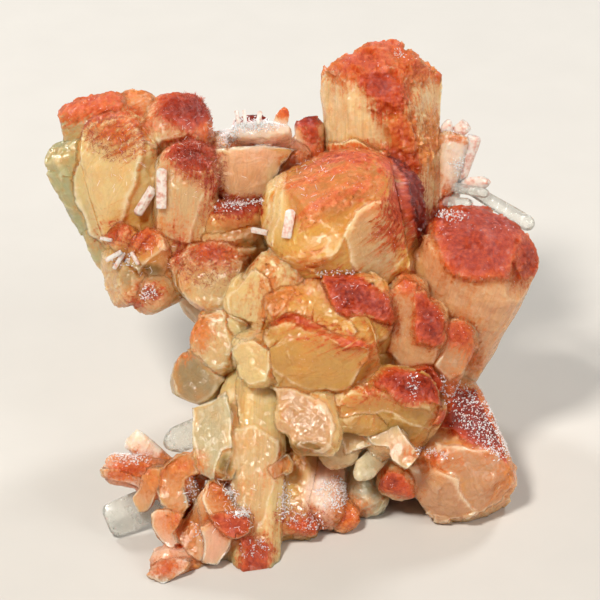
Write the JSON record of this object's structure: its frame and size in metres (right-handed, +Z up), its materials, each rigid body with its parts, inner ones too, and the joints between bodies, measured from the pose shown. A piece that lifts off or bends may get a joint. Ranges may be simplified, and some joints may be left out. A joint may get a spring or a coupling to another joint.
{
  "type": "stilbite cluster",
  "caption": "Cabinet-size stilbite cluster: cream, honey and brick-red sheaf crystals with small white prisms, standing on a flat cut.",
  "frame": {"origin": "middle of the bounding box, on the flat cut that the cluster rests on", "axes": "+X along the greatest width, to the right as the display side is seen; -Y toward the display side; +Z up"},
  "size_m": [0.1212, 0.1058, 0.0982],
  "materials": {
    "stained_stilbite": "glassy to waxy, translucent cream and honey with rough brick-red iron-stained ends"
  },
  "bodies": {
    "root": {"stilbite_cluster": "stained_stilbite"}
  },
  "joints": []
}
